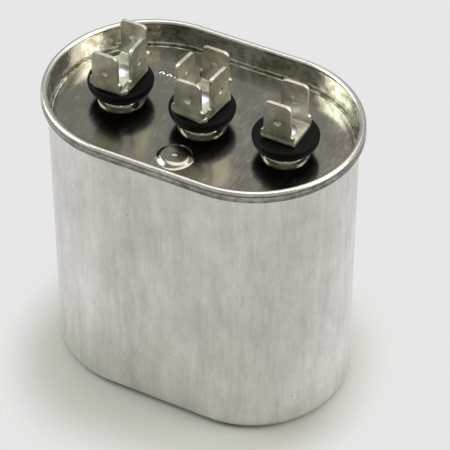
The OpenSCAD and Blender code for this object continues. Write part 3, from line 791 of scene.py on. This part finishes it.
def tab_strip(name, x, low_z, turn, spread, height, base_width, sides, node, plate=()):
    """A strip with its tabs, drilled for the rivet; a plate's corners stand out beside its bends."""
    bm = bmesh.new()
    upright_tab(bm, spread, height, base_width)
    flat = spread / 2 - bend_outer
    if sides == 2:
        twin = bmesh.ops.duplicate(bm, geom=bm.verts[:] + bm.edges[:] + bm.faces[:])["geom"]
        bmesh.ops.rotate(bm, verts=[v for v in twin if isinstance(v, bmesh.types.BMVert)], cent=(0, 0, 0),
                         matrix=Matrix.Rotation(math.pi, 3, "Z"))
    else:
        bm.edges.new([bm.verts.new((-flat, side * base_width / 2, 0)) for side in (-1, 1)])
    ends = [v for v in bm.verts
            if abs(v.co.z) < touching and abs(abs(v.co.y) - base_width / 2) < touching]
    for side in (-1, 1):
        outline = sorted([v for v in ends if v.co.y * side > 0], key=lambda v: v.co.x)
        outline[1:1] = [bm.verts.new((-along, side * across, 0)) for along, across in plate]
        outline[-1:-1] = [bm.verts.new((along, side * across, 0)) for along, across in reversed(plate)]
        ends += outline[1:-1]
        for pair in zip(outline, outline[1:]):
            bm.edges.new(pair)
    hole = bmesh.ops.create_circle(bm, segments=32, radius=rivet_hole)["verts"]
    rims = [e for e in bm.edges if all(v in ends or v in hole for v in e.verts)]
    bmesh.ops.triangle_fill(bm, edges=rims, use_beauty=True, normal=(0, 0, -1))
    turn_outwards(bm, min, -1)
    bmesh.ops.rotate(bm, verts=bm.verts, cent=(0, 0, 0),
                     matrix=Matrix.Rotation(math.radians(turn), 3, "Z"))
    bmesh.ops.translate(bm, verts=bm.verts, vec=(x, 0, low_z))
    strip = make_piece(bm, name, plated, "plated_brass", node)
    give_thickness(strip, tab_thickness)
    edges = strip.modifiers.new("stamped_edges", "BEVEL")
    edges.width = stamped_round
    edges.segments = 3
    edges.limit_method = "ANGLE"
    edges.angle_limit = math.radians(50)
    strip.modifiers.new("flat_faces", "WEIGHTED_NORMAL").keep_sharp = True


low_height = 10.7 * mm
wide_height = 9.8 * mm
wide_spread = 13.6 * mm
cross_spread = 9.6 * mm
fan_spread = 9 * mm
upper = insulator_top + tab_thickness
compressor_x, common_x, fan_x = terminal_x
corners = [(4.3 * mm, 4.1 * mm), (4.3 * mm, 4.7 * mm), (3.5 * mm, 5.7 * mm)]
tab_strip("fan_blades", fan_x, insulator_top, 90, fan_spread, low_height, strip_width, 2, "fan_tabs")
tab_strip("common_cross_blades", common_x, insulator_top, -6.6, cross_spread, low_height, strip_width, 2,
          "common_cross_tabs", plate=corners)
tab_strip("compressor_side_blade", compressor_x, insulator_top, 0, cross_spread, low_height, strip_width,
          1, "compressor_side_tab", plate=corners)
for name, x in (("common", common_x), ("compressor", compressor_x)):
    tab_strip(name + "_wide_blades", x, upper, 90, wide_spread, wide_height, waist_width, 2,
              name + "_wide_tabs")


# Rivets: solid steel, nickel plated, with a low domed head on top of the strips.
# Each one holds a whole terminal together and is closed over the eye of the lead inside.
shank_radius = 1.5 * mm
head_radius = 2.4 * mm
closed_head = 0.8 * mm

# Nickel plated steel: cool and fairly bright, with soft worn patches about a millimetre across.
nickel = even_finish("nickel_plated_steel", {"Metallic": 1}, 1.2 * mm, ("#b4b2b6", "#cfcdd1"),
                     (0.28, 0.42), Detail=3)
for name, x, strips in zip(terminal_names, terminal_x, (2, 2, 1)):
    low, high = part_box(name + "_rivet")
    seat = insulator_top + strips * tab_thickness
    start, moves = dome(head_radius, high.z - seat, seat)
    turned_piece(name + "_rivet_head", start, moves + [
        (shank_radius, seat), (shank_radius, low.z + closed_head), (head_radius, low.z + closed_head),
        (head_radius, low.z), (0, low.z),
    ], x, 0, 48, nickel, "rivet_steel", name + "_rivet")


# Seals: rings of moulded black rubber that the rivets squeeze into the hollows of the bosses.
# Nitrile rubber is matt and grey-black, with a fine even tooth that is drawn at 0.3 mm so that it shows.
def finish_nodes(material, *nodes):
    """Gives carried-over CAD nodes their finish."""
    for node in nodes:
        for material_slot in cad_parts[node].material_slots:
            material_slot.material = material


rubber = even_finish("nitrile_rubber", {}, 0.3 * mm, ("#151515", "#252423"), (0.6, 0.8), 0.02 * mm,
                     Detail=4)
finish_nodes(rubber, "compressor_seal", "common_seal", "fan_seal")


# Washers and top disc: vulcanised fibre and pressboard, punched from sheet.
# Both are brown with short darker fibres, drawn 0.8 mm wide so that they show, and nearly no shine.
pressboard = even_finish("pressboard", {}, 0.8 * mm, ("#6e4f35", "#96724f"), (0.7, 0.9), 0.03 * mm,
                         stretch=(1, 3, 1), Detail=4)
finish_nodes(pressboard, "compressor_washer", "common_washer", "fan_washer", "top_insulator")


# Leads: tinned copper strip, cut and bent, with an eye under each rivet.
# The rolled tin is bright and shows fine lines along the strip, drawn wider than the real ones.
copper = even_finish("tinned_copper_strip", {"Metallic": 1}, 0.3 * mm, ("#b5b4ae", "#d8d7d4"), (0.2, 0.4),
                     0.004 * mm, stretch=(4, 4, 0.2), Detail=4)
finish_nodes(copper, "compressor_lead", "common_lead", "fan_lead")


# Liner, bottom disc, core and barrier: natural polypropylene, rolled or moulded.
# It is milky white with a soft waxy shine and broad, faint clouds.
milky = even_finish("natural_polypropylene", {}, 5 * mm, ("#cfccc0", "#e2e0d6"), (0.3, 0.5), 0.02 * mm,
                    Detail=4)
finish_nodes(milky, "liner", "bottom_insulator", "core_tube", "section_barrier")


# Windings: metallised polypropylene film, wound tight on the core in two sections.
# The edges of the turns show as upright lines on the pale silvery film. A real turn is 0.01 mm thick,
# so the lines are drawn at 0.5 mm.
film = even_finish("metallised_film", {"Metallic": 0.6}, 0.5 * mm, ("#a9a79f", "#cfcdc4"), (0.25, 0.45),
                   0.01 * mm, stretch=(1, 1, 0.02), Detail=4)
finish_nodes(film, "fan_winding", "compressor_winding")


# Sprayed ends: zinc sprayed molten on the film's edges, so they are dull grey and rough as sandpaper.
# The grains of 0.1 to 0.2 mm are drawn at 0.4 mm so that they show.
zinc = even_finish("sprayed_zinc", {"Metallic": 1}, 0.4 * mm, ("#77797b", "#9b9da0"), (0.65, 0.85),
                   0.08 * mm, Detail=4)
finish_nodes(zinc, "common_end_spray", "fan_end_spray", "compressor_end_spray")
